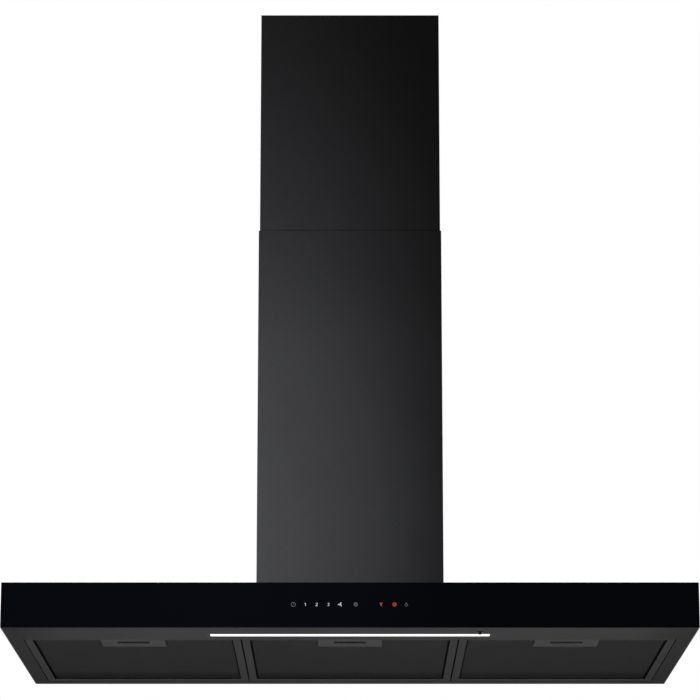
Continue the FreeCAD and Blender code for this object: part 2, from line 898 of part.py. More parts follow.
def damper_pin():
    return rod(flap_pin_radius, (0, impeller_y - collar_radius, flap_z), Y_AXIS, 2 * collar_radius)


def knuckle_rows(side):
    """The left flap has the outer knuckles and the right flap the inner ones."""
    if side < 0:
        centres = (-1.5, 1.5)
    else:
        centres = (-0.5, 0.5)
    return [impeller_y + (flap_knuckle_length + flap_gap) * centre for centre in centres]


def damper_flap(side):
    radius = collar_bore - flap_gap
    z0 = flap_z - flap_knuckle
    disc = rod(radius, (0, impeller_y, z0), Z_AXIS, flap_thickness)
    near = flap_knuckle + flap_gap
    half = side_block(side, near, radius, impeller_y - radius, impeller_y + radius,
                      z0 - flap_gap, z0 + flap_thickness + flap_gap)
    pieces = [disc.common(half)]
    for y in knuckle_rows(side):
        y0 = y - flap_knuckle_length / 2
        pieces.append(rod(flap_knuckle, (0, y0, flap_z), Y_AXIS, flap_knuckle_length))
        pieces.append(side_block(side, 0, 2 * near, y0, y0 + flap_knuckle_length, z0, z0 + flap_thickness))
    bore = rod(flap_pin_radius + running_gap, (0, impeller_y - radius, flap_z), Y_AXIS, 2 * radius)
    return fuse(pieces).cut(bore)


# Power box, gland and leads

def power_box():
    end_x = box_start_x + box_length
    end_y = box_start_y + box_depth
    tray = open_box(box_start_x, end_x, box_start_y, end_y, box_bottom, ceiling_z, box_wall)
    inset = box_wall + 2 * box_post_radius
    posts = [
        rod(box_post_radius, (x, y, box_board_z), Z_AXIS, box_board_height)
        for x in (box_start_x + inset, end_x - inset) for y in (box_start_y + inset, end_y - inset)
    ]
    return fuse([tray] + posts)


def power_box_cover():
    return block(box_start_x, box_start_x + box_length, box_start_y, box_start_y + box_depth,
                 box_bottom - box_wall, box_bottom)


def power_board():
    inset = box_wall + fit_gap
    return block(box_start_x + inset, box_start_x + box_length - inset,
                 box_start_y + inset, box_start_y + box_depth - inset,
                 box_board_z - board_thickness, box_board_z)


def motor_capacitor():
    """It hangs from the board, and is as thick as the box's depth allows."""
    top = box_board_z - board_thickness
    radius = min(capacitor_radius, (top - box_bottom) / 2 - fit_gap)
    return rod(radius, (box_x - capacitor_length / 2, box_y, top - radius), X_AXIS, capacitor_length)


def cable_gland():
    z0 = top_z - sheet - gland_length / 2
    body = rod(gland_radius, (gland_x, gland_y, z0), Z_AXIS, gland_length)
    nut = rod(gland_flange, (gland_x, gland_y, ceiling_z - gland_nut), Z_AXIS, gland_nut)
    flange = rod(gland_flange, (gland_x, gland_y, top_z), Z_AXIS, gland_nut / 2)
    bore = rod(gland_radius / 2, (gland_x, gland_y, z0 - sheet), Z_AXIS, gland_length + 2 * sheet)
    return fuse([body, nut, flange]).cut(bore)


def lead(route):
    """A round lead along straight runs, with the largest tangent arc that each corner allows."""
    points = [Vector(*point) for point in route]
    edges = []
    start = points[0]
    for before, corner, after in zip(points, points[1:], points[2:]):
        way_in = (corner - before).normalize()
        way_out = (after - corner).normalize()
        reach = 0.45 * min((corner - before).Length, (after - corner).Length)
        radius = reach / math.tan(way_in.getAngle(way_out) / 2)
        inward = (way_out - way_in).normalize()
        middle_gap = math.hypot(radius, reach) - radius
        arc_start = corner - way_in * reach
        arc_end = corner + way_out * reach
        edges.append(Part.makeLine(start, arc_start))
        edges.append(Part.Arc(arc_start, corner + inward * middle_gap, arc_end).toShape())
        start = arc_end
    edges.append(Part.makeLine(start, points[-1]))
    path = Part.Wire(edges)
    section = Part.Wire(Part.makeCircle(lead_radius, points[0], points[1] - points[0]))
    return path.makePipeShell([section], True, False)


def along(start, end, shares):
    """Points between start and end, each given by its share of the way along X, Y and Z."""
    return [tuple(a + (b - a) * share for a, b, share in zip(start, end, point)) for point in shares]


def light_lead_route():
    """From the power box's front wall, over the filters, down on to the light housing."""
    start = (box_x, box_start_y, box_bottom + box_height * 0.6)
    end = (-light_half + 4 * light_wall, light_y, light_height)
    return [start] + along(start, end, [
        (0, 0.14, 0), (0.12, 0.28, 0), (0.32, 0.42, 0), (0.57, 0.56, 0),
        (0.81, 0.79, 0.07), (0.96, 0.91, 0.26), (1, 1, 0.41),
    ]) + [end]


def control_lead_route():
    """From the power box's front wall to the back of the control housing."""
    start = (box_x + box_length * 0.2, box_start_y, box_bottom + box_height * 0.58)
    end = (-touch_half, shell_front_y + sheet + control_depth, touch_height)
    return [start] + along(start, end, [
        (0, 0.12, 0), (0.1, 0.24, 0.08), (0.27, 0.36, 0.16), (0.48, 0.47, 0.32),
        (0.78, 0.72, 0.56), (0.94, 0.83, 0.8), (1, 0.92, 1),
    ]) + [end]


def motor_lead_route():
    """From the power box's side, up through the shell's top, to the motor's end."""
    start = (box_start_x + box_length, impeller_y - shaft_radius * 5, box_bottom + box_height / 2)
    end = (-casing_half - spider_thickness, impeller_y, impeller_z - bearing_radius)
    return [start] + along(start, end, [
        (0.3, 0, 0), (0.59, 0.1, 0.02), (0.86, 0.25, 0.08), (0.94, 0.45, 0.22), (0.91, 0.6, 0.42),
        (0.82, 0.75, 0.61), (0.77, 0.9, 0.78), (0.87, 1, 1),
    ]) + [end]


# Screws

def screws_for(places, length=screw_length):
    return [screw(seat, axis, length) for seat, axis in places]


def sheet_screws():
    screws = screws_for(tab_screw_places() + spider_screw_places(-1) + spider_screw_places(1))
    screws += screws_for(frame_screw_places(), frame_screw_length)
    screws += screws_for(control_screw_places(), control_screw_length)
    screws += screws_for(collar_screw_places(), boss_screw_length)
    screws += screws_for(bush_screw_places(), bush_screw_length)
    return screws


# Export

def build():
    os.makedirs("parts", exist_ok=True)
    save("canopy_shell", canopy_shell())
    save("bottom_frame", bottom_frame())
    save("front_channel", front_channel())
    save("front_glass", front_glass())
    save("glass_tape", glass_tape())
    save("control_housing", control_housing())
    save("control_board", control_board())
    save("touch_pads", touch_pads())
    save("light_housing", light_housing())
    save("light_lens", light_lens())
    save("light_end_caps", light_end_caps())
    save("led_board", led_board())
    save("leds", leds())
    save("link_sensor", link_sensor())
    for name, x in zip(filter_names, filter_centres()):
        save("filter_frame_" + name, filter_frame(x))
        save("filter_mesh_" + name, filter_mesh(x))
        save("filter_handle_" + name, filter_handle(x))
        save("filter_latch_" + name, filter_latch(x))
        save("latch_spring_" + name, latch_spring(x))
    save("hinge_brackets", hinge_brackets())
    save("hinge_pins", hinge_pins())
    save("lower_chimney", lower_chimney())
    save("upper_chimney", upper_chimney())
    save("chimney_bracket", chimney_bracket())
    save("blower_casing_left", casing_half_shell(-1))
    save("blower_casing_right", casing_half_shell(1))
    save("blower_rails", blower_rails())
    save("blower_bushes", blower_bushes())
    save("impeller", impeller())
    save("motor_shaft", motor_shaft())
    save("motor_housing", motor_housing())
    save("motor_bearings", motor_bearings())
    save("motor_stator", motor_stator())
    save("motor_rotor", motor_rotor())
    save("motor_bracket", inlet_spider(-1, spider_hub))
    save("inlet_guard", inlet_spider(1, spider_arm))
    save("outlet_collar", outlet_collar())
    save("damper_pin", damper_pin())
    save("damper_flap_left", damper_flap(-1))
    save("damper_flap_right", damper_flap(1))
    save("power_box", power_box())
    save("power_box_cover", power_box_cover())
    save("power_board", power_board())
    save("motor_capacitor", motor_capacitor())
    save("cable_gland", cable_gland())
    save("light_lead", lead(light_lead_route()))
    save("control_lead", lead(control_lead_route()))
    save("motor_lead", lead(motor_lead_route()))
    save("sheet_screws", sheet_screws())
    save("bracket_screws", screws_for(bracket_screw_places()))


build()
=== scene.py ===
import json
import math

import bmesh
import bpy
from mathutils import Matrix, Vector


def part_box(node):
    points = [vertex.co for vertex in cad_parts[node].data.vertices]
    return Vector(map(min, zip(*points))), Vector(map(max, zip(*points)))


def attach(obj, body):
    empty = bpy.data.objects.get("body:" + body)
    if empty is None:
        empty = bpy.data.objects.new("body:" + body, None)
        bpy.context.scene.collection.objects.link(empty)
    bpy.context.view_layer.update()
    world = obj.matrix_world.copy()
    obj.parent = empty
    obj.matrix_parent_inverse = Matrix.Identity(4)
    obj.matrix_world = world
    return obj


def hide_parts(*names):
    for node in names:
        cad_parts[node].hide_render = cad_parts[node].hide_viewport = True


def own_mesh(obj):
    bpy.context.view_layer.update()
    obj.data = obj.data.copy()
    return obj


# Chimney range hood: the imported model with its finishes, and with the glass pane, the lit symbols and the
# latches' wire springs made here. Metres. X is right as one faces the hood, +Y is towards the wall, +Z is up.

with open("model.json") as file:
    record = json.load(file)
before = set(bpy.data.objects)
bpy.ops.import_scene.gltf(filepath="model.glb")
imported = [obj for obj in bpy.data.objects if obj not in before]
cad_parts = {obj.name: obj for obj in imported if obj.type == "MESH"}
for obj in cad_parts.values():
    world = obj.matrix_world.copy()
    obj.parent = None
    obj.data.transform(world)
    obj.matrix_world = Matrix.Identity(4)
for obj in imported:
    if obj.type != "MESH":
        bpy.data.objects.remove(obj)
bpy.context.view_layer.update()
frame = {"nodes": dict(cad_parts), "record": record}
nodes = frame["nodes"]

FILTER_NAMES = ("left", "centre", "right")


# Camera, in front of the hood and below it

CAMERA_PLACE = (0.0, -4.700, -0.7153)
CAMERA_RISE = 14.078  # degrees above the level
CAMERA_LENS = 170.04
CAMERA_SENSOR = 36.0
CAMERA_REACH = 100.0


def add_camera():
    camera = bpy.data.objects.new("camera", bpy.data.cameras.new("camera"))
    bpy.context.scene.collection.objects.link(camera)
    camera.data.lens = CAMERA_LENS
    camera.data.sensor_width = CAMERA_SENSOR
    camera.data.clip_end = CAMERA_REACH
    camera.location = CAMERA_PLACE
    camera.rotation_euler = (math.radians(90 + CAMERA_RISE), 0.0, 0.0)
    bpy.context.scene.camera = camera


# Materials. Colours are linear, and lengths on the object are in metres.

# Noise keeps mostly to this middle range.
NOISE_RANGE = (0.3, 0.7)
# A wall faces a way a little at the first of these, and fully at the second.
FACING_RANGE = (0.5, 0.9)
SMOOTHEST = 0.02


class Surface:
    """A node material that is put together from layers on the object's own coordinates."""

    def __init__(self, name, colour, roughness, metallic=0.0, specular=0.5):
        self.material = bpy.data.materials.new(name)
        self.material.use_nodes = True
        self.tree = self.material.node_tree
        self.shader = self.tree.nodes["Principled BSDF"]
        self.shader.inputs["Metallic"].default_value = metallic
        self.shader.inputs["Specular IOR Level"].default_value = specular
        self.shader.inputs["Roughness"].default_value = roughness
        self.roughness = roughness
        coordinates = self.node("ShaderNodeTexCoord")
        self.place = coordinates.outputs["Object"]
        self.whole = coordinates.outputs["Generated"]
        self.normal = coordinates.outputs["Normal"]
        self.colour = self.node("ShaderNodeRGB").outputs["Color"]
        self.colour.default_value = (*colour, 1.0)
        self.heights = []

    def node(self, kind, **settings):
        made = self.tree.nodes.new(kind)
        for key, value in settings.items():
            setattr(made, key, value)
        return made

    def link(self, source, target):
        self.tree.links.new(source, target)

    def stretched(self, scale):
        """The coordinates, scaled differently along X, Y and Z."""
        mapping = self.node("ShaderNodeMapping")
        mapping.inputs["Scale"].default_value = scale
        self.link(self.place, mapping.inputs["Vector"])
        return mapping.outputs["Vector"]

    def noise(self, scale, detail=3.0, place=None):
        texture = self.node("ShaderNodeTexNoise")
        texture.inputs["Scale"].default_value = scale
        texture.inputs["Detail"].default_value = detail
        self.link(place or self.place, texture.inputs["Vector"])
        return texture.outputs["Fac"]

    def cells(self, scale, output="Distance"):
        texture = self.node("ShaderNodeTexVoronoi")
        texture.inputs["Scale"].default_value = scale
        self.link(self.place, texture.inputs["Vector"])
        return texture.outputs[output]

    def span(self, value, low, high, to_low, to_high):
        """A value from low..high, mapped on to to_low..to_high."""
        mapped = self.node("ShaderNodeMapRange")
        ends = {"From Min": low, "From Max": high, "To Min": to_low, "To Max": to_high}
        for key, number in ends.items():
            mapped.inputs[key].default_value = number
        self.link(value, mapped.inputs["Value"])
        return mapped.outputs["Result"]

    def spread(self, noise, low, high):
        """Noise, mapped on to low..high."""
        return self.span(noise, *NOISE_RANGE, low, high)

    def along(self, vector, axis):
        """One coordinate of a vector."""
        split = self.node("ShaderNodeSeparateXYZ")
        self.link(vector, split.inputs["Vector"])
        return split.outputs[axis]

    def calculate(self, operation, first, second=None):
        node = self.node("ShaderNodeMath", operation=operation)
        for slot, value in zip(node.inputs, (first, second)):
            if isinstance(value, (int, float)):
                slot.default_value = value
            elif value is not None:
                self.link(value, slot)
        return node.outputs[0]

    def shade(self, factor):
        """Multiplies the colour by a factor."""
        mix = self.node("ShaderNodeMix", data_type="RGBA", blend_type="MULTIPLY")
        mix.inputs["Factor"].default_value = 1.0
        self.link(self.colour, mix.inputs["A"])
        self.link(factor, mix.inputs["B"])
        self.colour = mix.outputs["Result"]

    def mottle(self, scale, low, high, detail=3.0):
        """Varies the colour from place to place, between two factors."""
        self.shade(self.spread(self.noise(scale, detail), low, high))

    def tint(self, mask, colour):
        """Lays another colour over this one where the mask is 1."""
        mix = self.node("ShaderNodeMix", data_type="RGBA")
        self.link(mask, mix.inputs["Factor"])
        self.link(self.colour, mix.inputs["A"])
        mix.inputs["B"].default_value = (*colour, 1.0)
        self.colour = mix.outputs["Result"]

    def painted_light_on_front_walls(self, tone):
        """Painted light: another tone on walls that face the front, lighter where too little light reaches
        them.
        """
        if tone != 1.0:
            low, high = FACING_RANGE
            self.shade(self.span(self.along(self.normal, "Y"), -low, -high, 1.0, tone))

    def painted_shade_on_side_walls(self, tone):
        """Painted shade: another tone on walls that face either side, darker as shade falls in narrow gaps.
        """
        if tone != 1.0:
            sideways = self.calculate("ABSOLUTE", self.along(self.normal, "X"))
            self.shade(self.span(sideways, *FACING_RANGE, 1.0, tone))

    def edges(self, width, colour, strength):
        """Lighter rubbed edges, patchy along their length."""
        bevel = self.node("ShaderNodeBevel", samples=4)
        bevel.inputs["Radius"].default_value = width
        plain = self.node("ShaderNodeNewGeometry").outputs["Normal"]
        dot = self.node("ShaderNodeVectorMath", operation="DOT_PRODUCT")
        self.link(bevel.outputs["Normal"], dot.inputs[0])
        self.link(plain, dot.inputs[1])
        turned = self.span(dot.outputs["Value"], 0.98, 0.8, 0.0, strength)
        patches = self.span(self.noise(60.0), 0.35, 0.65, 0.35, 1.0)
        self.tint(self.calculate("MULTIPLY", turned, patches), colour)

    def bump(self, height, distance, strength=1.0):
        self.heights.append((height, distance, strength))

    def done(self, rough_noise=None, rough_spread=0.0):
        """Joins up the layers, with the roughness varied by a noise, and returns the material."""
        self.link(self.colour, self.shader.inputs["Base Color"])
        if rough_noise is not None:
            low = max(SMOOTHEST, self.roughness - rough_spread)
            high = min(1.0, self.roughness + rough_spread)
            self.link(self.spread(rough_noise, low, high), self.shader.inputs["Roughness"])
        before = None
        for height, distance, strength in self.heights:
            bump = self.node("ShaderNodeBump")
            bump.inputs["Distance"].default_value = distance
            bump.inputs["Strength"].default_value = strength
            self.link(height, bump.inputs["Height"])
            if before is not None:
                self.link(before, bump.inputs["Normal"])
            before = bump.outputs["Normal"]
        if before is not None:
            self.link(before, self.shader.inputs["Normal"])
        return self.material


# How far from the middle the hood's side borders begin, and where they have their full tone: painted shade,
# darker towards both sides.
PAINTED_SHADE_SIDES = (0.37, 0.43)


def coated_steel(name, colour, roughness, specular, edge=(0.16, 0.16, 0.165), wear=0.3,
                 border_painted_shade=1.0, gap_painted_shade=1.0, front_painted_light=1.0):
    """Powder coat: a fine orange-peel grain with faint cloudiness; painted shade towards both sides and on
    walls that face the sides, and painted light on walls that face the front.
    """
    surface = Surface(name, colour, roughness, specular=specular)
    # Painted shade: walls that face the sides may be darker, as in the narrow gaps.
    surface.painted_shade_on_side_walls(gap_painted_shade)
    # Painted light: walls that face the front may be lighter in colour.
    surface.painted_light_on_front_walls(front_painted_light)
    # Painted shade: darker towards both sides of the hood.
    if border_painted_shade != 1.0:
        aside = surface.calculate("ABSOLUTE", surface.along(surface.place, "X"))
        surface.shade(surface.span(aside, *PAINTED_SHADE_SIDES, 1.0, border_painted_shade))
    surface.mottle(5.0, 0.93, 1.07)
    surface.mottle(1400.0, 0.86, 1.14, detail=2.0)
    surface.edges(0.0008, edge, wear)
    surface.bump(surface.noise(900.0, 2.0), 0.00006, 0.5)
    return surface.done(surface.noise(14.0), 0.06)


def galvanised_sheet(name):
    """Zinc spangle: flat crystals that differ in tone and gloss."""
    surface = Surface(name, (0.36, 0.37, 0.38), 0.45, metallic=0.85)
    crystals = surface.cells(140.0, "Color")
    grey = surface.node("ShaderNodeRGBToBW")
    surface.link(crystals, grey.inputs["Color"])
    surface.shade(surface.span(grey.outputs["Val"], 0.0, 1.0, 0.72, 1.12))
    surface.mottle(9.0, 0.85, 1.05)
    surface.bump(surface.noise(1200.0, 2.0), 0.00003, 0.4)
    return surface.done(grey.outputs["Val"], 0.14)


def moulded(name, colour, roughness, specular=0.5, grain=1600.0, front_painted_light=1.0):
    """Moulded plastic with an eroded texture, and painted light on walls that face the front."""
    surface = Surface(name, colour, roughness, specular=specular)
    # Painted light: walls that face the front may be lighter in colour.
    surface.painted_light_on_front_walls(front_painted_light)
    surface.mottle(11.0, 0.92, 1.08)
    surface.mottle(grain, 0.84, 1.16, detail=2.0)
    rubbed = tuple(min(1.0, channel * 2.2 + 0.02) for channel in colour)
    surface.edges(0.0006, rubbed, 0.3)
    surface.bump(surface.noise(grain * 0.7), 0.00005, 0.6)
    return surface.done(surface.noise(35.0), 0.08)


def turned_metal(name, colour, roughness, metallic=0.9):
    """Machined or plated metal: fine lines and a little staining."""
    surface = Surface(name, colour, roughness, metallic=metallic)
    lines = surface.noise(900.0, 2.0)
    surface.shade(surface.spread(lines, 0.85, 1.1))
    surface.shade(surface.span(surface.noise(28.0), 0.35, 0.7, 1.0, 0.82))
    surface.bump(lines, 0.00003, 0.4)
    return surface.done(surface.noise(70.0), 0.1)


def laminated_iron(name):
    """Stacked laminations across X, with varnish over them."""
    surface = Surface(name, (0.13, 0.11, 0.1), 0.5, metallic=0.6)
    wave = surface.node("ShaderNodeTexWave", wave_type="BANDS", bands_direction="X")
    wave.inputs["Scale"].default_value = 320.0
    wave.inputs["Distortion"].default_value = 0.4
    surface.link(surface.place, wave.inputs["Vector"])
    surface.shade(surface.span(wave.outputs["Fac"], 0.0, 1.0, 0.55, 1.15))
    surface.tint(surface.span(surface.noise(45.0), 0.58, 0.72, 0.0, 0.6), (0.12, 0.045, 0.02))
    surface.bump(wave.outputs["Fac"], 0.0001, 0.7)
    return surface.done(surface.noise(80.0), 0.12)


def circuit_board(name):
    """Green solder mask with raised tracks, bare pads and printed outlines."""
    surface = Surface(name, (0.012, 0.085, 0.035), 0.35)
    tracks = surface.node("ShaderNodeTexBrick", offset=0.35)
    tracks.inputs["Scale"].default_value = 70.0
    tracks.inputs["Mortar Size"].default_value = 0.03
    tracks.inputs["Color1"].default_value = (0.0, 0.0, 0.0, 1.0)
    tracks.inputs["Color2"].default_value = (0.0, 0.0, 0.0, 1.0)
    tracks.inputs["Mortar"].default_value = (1.0, 1.0, 1.0, 1.0)
    surface.link(surface.place, tracks.inputs["Vector"])
    surface.tint(surface.span(tracks.outputs["Fac"], 0.0, 1.0, 0.0, 0.6), (0.035, 0.2, 0.08))
    pads = surface.span(surface.cells(220.0), 0.16, 0.2, 1.0, 0.0)
    surface.tint(pads, (0.55, 0.5, 0.38))
    surface.bump(tracks.outputs["Fac"], 0.0001, 0.5)
    return surface.done(surface.noise(60.0), 0.1)


def foam(name, colour):
    """Open cells, with painted shade in their middles."""
    surface = Surface(name, colour, 0.9, specular=0.2)
    cells = surface.cells(2200.0)
    surface.shade(surface.span(cells, 0.1, 0.7, 0.55, 1.2))
    surface.bump(cells, 0.0002, 0.7)
    return surface.done(surface.noise(90.0), 0.05)


def sheath(name, colour):
    """A lead's soft sheath, a little dusty."""
    surface = Surface(name, colour, 0.55, specular=0.35)
    surface.mottle(40.0, 0.85, 1.15)
    surface.bump(surface.noise(700.0, 2.0), 0.00005, 0.4)
    return surface.done(surface.noise(55.0), 0.1)


# In pitches from an opening's middle: from where there is only strand, and to where only opening.
STRAND_EDGE = (0.34, 0.28)
# Where painted shade begins on the mesh and where it is full, as shares of the mesh's size: from its middle
# to each side, and from its front to its rear.
SIDE_PAINTED_SHADE = (0.459, 0.463)
REAR_PAINTED_SHADE = (0.83, 0.93)


def expanded_mesh(name, colour, opening_shade_colour, pitch, slope):
    """Diamond openings between raised strands, in the X-Y plane; the openings painted dark as shade, and
    painted shade along the sides and the rear.
    """
    surface = Surface(name, colour, 0.7, specular=0.0)
    across = surface.calculate("MULTIPLY", surface.along(surface.place, "X"), 1.0 / pitch)
    along = surface.calculate("MULTIPLY", surface.along(surface.place, "Y"), slope / pitch)
    distances = []
    for way in ("ADD", "SUBTRACT"):
        run = surface.calculate("FRACT", surface.calculate(way, across, along))
        distances.append(surface.calculate("ABSOLUTE", surface.calculate("SUBTRACT", run, 0.5)))
    strand = surface.calculate("MAXIMUM", *distances)
    surface.mottle(26.0, 0.95, 1.05)
    surface.mottle(420.0, 0.85, 1.15, detail=2.0)
    # The openings are painted dark: painted shade inside them.
    surface.tint(surface.span(strand, *STRAND_EDGE, 0.0, 1.0), opening_shade_colour)
    # Painted shade along the mesh's sides and towards its rear.
    from_middle = surface.calculate("SUBTRACT", surface.along(surface.whole, "X"), 0.5)
    surface.shade(surface.span(surface.calculate("ABSOLUTE", from_middle), *SIDE_PAINTED_SHADE, 1.0, 0.2))
    surface.shade(surface.span(surface.along(surface.whole, "Y"), *REAR_PAINTED_SHADE, 1.0, 0.62))
    surface.bump(strand, 0.0006, 0.8)
    return surface.done(surface.noise(200.0), 0.1)


def black_glass(name):
    """Glass printed black on its back: hardly any texture, only faint smears in its gloss."""
    surface = Surface(name, (0.0004, 0.0005, 0.0009), 0.06, specular=0.033)
    surface.shader.inputs["Specular Tint"].default_value = (0.62, 0.7, 1.0, 1.0)
    surface.mottle(3.0, 0.9, 1.1)
    surface.bump(surface.noise(6.0, 1.0), 0.00002, 0.2)
    return surface.done(surface.noise(18.0, 4.0), 0.03)


def ground_edge(name):
    """Ground glass with the black print behind it: matt and grainy."""
    surface = Surface(name, (0.011, 0.011, 0.012), 0.8, specular=0.0)
    surface.mottle(1500.0, 0.8, 1.2, detail=2.0)
    surface.bump(surface.noise(1500.0, 2.0), 0.00005, 0.5)
    return surface.done(surface.noise(40.0), 0.08)


def lit_plastic(name, colour, strength, lines=0.0):
    """Opal plastic that is lit from behind, a little uneven along its length."""
    surface = Surface(name, colour, 0.4, specular=0.3)
    surface.mottle(9.0, 0.97, 1.0)
    if lines:
        ribs = surface.noise(lines, 1.0, surface.stretched((1.0, 0.02, 0.02)))
        surface.shade(surface.spread(ribs, 0.97, 1.0))
        surface.bump(ribs, 0.00005, 0.3)
    surface.link(surface.colour, surface.shader.inputs["Emission Color"])
    surface.shader.inputs["Emission Strength"].default_value = strength
    surface.mottle(60.0, 0.2, 0.25)
    return surface.done()


def glossy_dome(name):
    """Dark clear plastic over a sensor."""
    surface = Surface(name, (0.006, 0.006, 0.008), 0.3, specular=0.06)
    surface.mottle(300.0, 0.8, 1.2)
    return surface.done(surface.noise(150.0), 0.05)


MATERIALS = {
    "black_steel": (coated_steel, dict(colour=(0.044, 0.0445, 0.0475), roughness=0.5, specular=0.02,
                                       edge=(0.12, 0.12, 0.125), wear=0.5)),
    # The underside: painted shade towards both sides and on walls that face the sides.
    "underside_steel": (coated_steel, dict(colour=(0.0435, 0.0432, 0.0447), roughness=0.6, specular=0.0,
                                           border_painted_shade=0.7, gap_painted_shade=0.3)),
    "galvanised": (galvanised_sheet, {}),
    "front_glass": (black_glass, {}),
    "ground_edge": (ground_edge, {}),
    "foam_tape": (foam, dict(colour=(0.03, 0.03, 0.03))),
    "black_plastic": (moulded, dict(colour=(0.022, 0.022, 0.024), roughness=0.5)),
    "circuit_board": (circuit_board, {}),
    "white_plastic": (moulded, dict(colour=(0.72, 0.72, 0.7), roughness=0.45)),
    "light_lens": (lit_plastic, dict(colour=(0.9, 0.91, 0.88), strength=1.0, lines=500.0)),
    "led": (lit_plastic, dict(colour=(0.95, 0.85, 0.5), strength=0.8)),
    "sensor_plastic": (glossy_dome, {}),
    "zinc": (turned_metal, dict(colour=(0.55, 0.55, 0.52), roughness=0.32)),
    "rubber": (moulded, dict(colour=(0.02, 0.02, 0.02), roughness=0.75, specular=0.3, grain=900.0)),
    "motor_aluminium": (turned_metal, dict(colour=(0.5, 0.51, 0.52), roughness=0.45, metallic=0.8)),
    "iron": (laminated_iron, {}),
    "lead_sheath": (sheath, dict(colour=(0.05, 0.05, 0.052))),
    # Filter frames: painted shade on walls that face the sides, and painted light on walls that face the
    # front.
    "filter_steel": (coated_steel, dict(colour=(0.041, 0.041, 0.0422), roughness=0.6, specular=0.0,
                                        edge=(0.09, 0.09, 0.092), wear=0.4, gap_painted_shade=0.3, front_painted_light=2.6)),
    "filter_mesh": (expanded_mesh, dict(colour=(0.033, 0.033, 0.0335), opening_shade_colour=(0.012, 0.012, 0.012),
                                        pitch=0.0026, slope=0.62)),
    # Handles: painted light on walls that face the front.
    "handle_plastic": (moulded, dict(colour=(0.053, 0.053, 0.0545), roughness=0.6, specular=0.0,
                                     front_painted_light=2.6)),
    # The latch is much lighter than its dark grey plastic: painted light in the handle's shaded recess.
    "latch_plastic": (moulded, dict(colour=(0.22, 0.22, 0.225), roughness=0.6, specular=0.0)),
}


def make_materials():
    return {name: make(name, **settings) for name, (make, settings) in MATERIALS.items()}


# Nodes with one of these words in their name keep sharp edges.
SHARP_NODES = ("mesh", "lead", "leds", "board", "tape", "pads", "pins", "impeller")
# Nodes with one of these words in their name get a finer rounding.
FINE_NODES = ("filter", "spring")
FINE_ROUNDING = 0.0004
ROUNDING = 0.0005


def dress_nodes(materials):
    """Gives every CAD node its slot's material, and its edges a small rounding."""
    slots = {part["node"]: part["material_slot"] for part in frame["record"]["subparts"]}
    for name, obj in nodes.items():
        obj.data.materials.clear()
        obj.data.materials.append(materials[slots[name]])
        if any(word in name for word in SHARP_NODES):
            continue
        bevel = obj.modifiers.new("rounding", "BEVEL")
        bevel.width = FINE_ROUNDING if any(word in name for word in FINE_NODES) else ROUNDING
        bevel.segments = 2
        bevel.limit_method = "ANGLE"
        bevel.angle_limit = math.radians(40)
        bevel.use_clamp_overlap = True


# Pieces made here

def new_object(name, shape, material, body, smooth=False):
    """Turns a bmesh into an object that rides on a body."""
    mesh = bpy.data.meshes.new(name)
    shape.to_mesh(mesh)
    shape.free()
    mesh.materials.append(material)
    if smooth:
        mesh.shade_smooth()
    obj = bpy.data.objects.new(name, mesh)
    bpy.context.scene.collection.objects.link(obj)
    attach(obj, body)
    return obj


# The lit symbols stand this far proud of the pane's face.
GLASS_SETBACK = 0.00005
GLASS_EDGE = 0.0007


def glass_pane(face_material, edge_material):
    """The pane with ground edges, its face a hair behind the symbols'."""
    low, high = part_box("front_glass")
    shape = bmesh.new()
    bmesh.ops.create_cube(shape, size=1.0)
    size = high - low
    for vertex in shape.verts:
        vertex.co = Vector((
            low.x + size.x * (vertex.co.x + 0.5),
            low.y + GLASS_SETBACK + (size.y - GLASS_SETBACK) * (vertex.co.y + 0.5),
            low.z + size.z * (vertex.co.z + 0.5),
        ))
    bmesh.ops.bevel(shape, geom=shape.edges[:], offset=GLASS_EDGE, segments=3, profile=0.6, affect="EDGES")
    pane = new_object("glass_pane", shape, face_material, "canopy")
    pane.data.materials.append(edge_material)
    for face in pane.data.polygons:
        flat = abs(face.normal.y) >= 0.99
        face.material_index = 0 if flat else 1
    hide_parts("front_glass")


def ways_at(spots, index, closed):
    """The way in and the way out at one point of a line, which are the same at an open end."""
    last = len(spots) - 1
    way_in = way_out = None
    if closed or index > 0:
        way_in = (spots[index] - spots[index - 1]).normalized()
    if closed or index < last:
        following = spots[index + 1] if index < last else spots[0]
        way_out = (following - spots[index]).normalized()
    if way_in is None:
        way_in = way_out
    if way_out is None:
        way_out = way_in
    return way_in, way_out


# A corner's mitre grows no longer than it is at this cosine of half the turn.
SHARPEST_TURN = 0.5


def lay_stroke(shape, points, width, at, closed=False):
    """A flat raised line on the glass, through points (x, z in metres) that are measured from at."""
    spots = [Vector(point) for point in points]
    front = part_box("front_glass")[0].y
    rails = []
    for index, spot in enumerate(spots):
        way_in, way_out = ways_at(spots, index, closed)
        way = (way_in + way_out).normalized()
        reach = Vector((-way.y, way.x)) * width / 2 / max(SHARPEST_TURN, way.dot(way_in))
        rail = []
        for edge in (spot + reach, spot - reach):
            for depth in (0.0, GLASS_SETBACK):
                rail.append(shape.verts.new((at[0] + edge.x, front + depth, at[1] + edge.y)))
        rails.append(rail)
    following = rails[1:] + rails[:1] if closed else rails[1:]
    for here, onward in zip(rails, following):
        left, left_low, right, right_low = here
        left_on, left_low_on, right_on, right_low_on = onward
        shape.faces.new((left, right, right_on, left_on))
        shape.faces.new((left_on, left_low_on, left_low, left))
        shape.faces.new((right, right_low, right_low_on, right_on))
    if not closed:
        for left, left_low, right, right_low in (rails[0], rails[-1]):
            shape.faces.new((left, left_low, right_low, right))


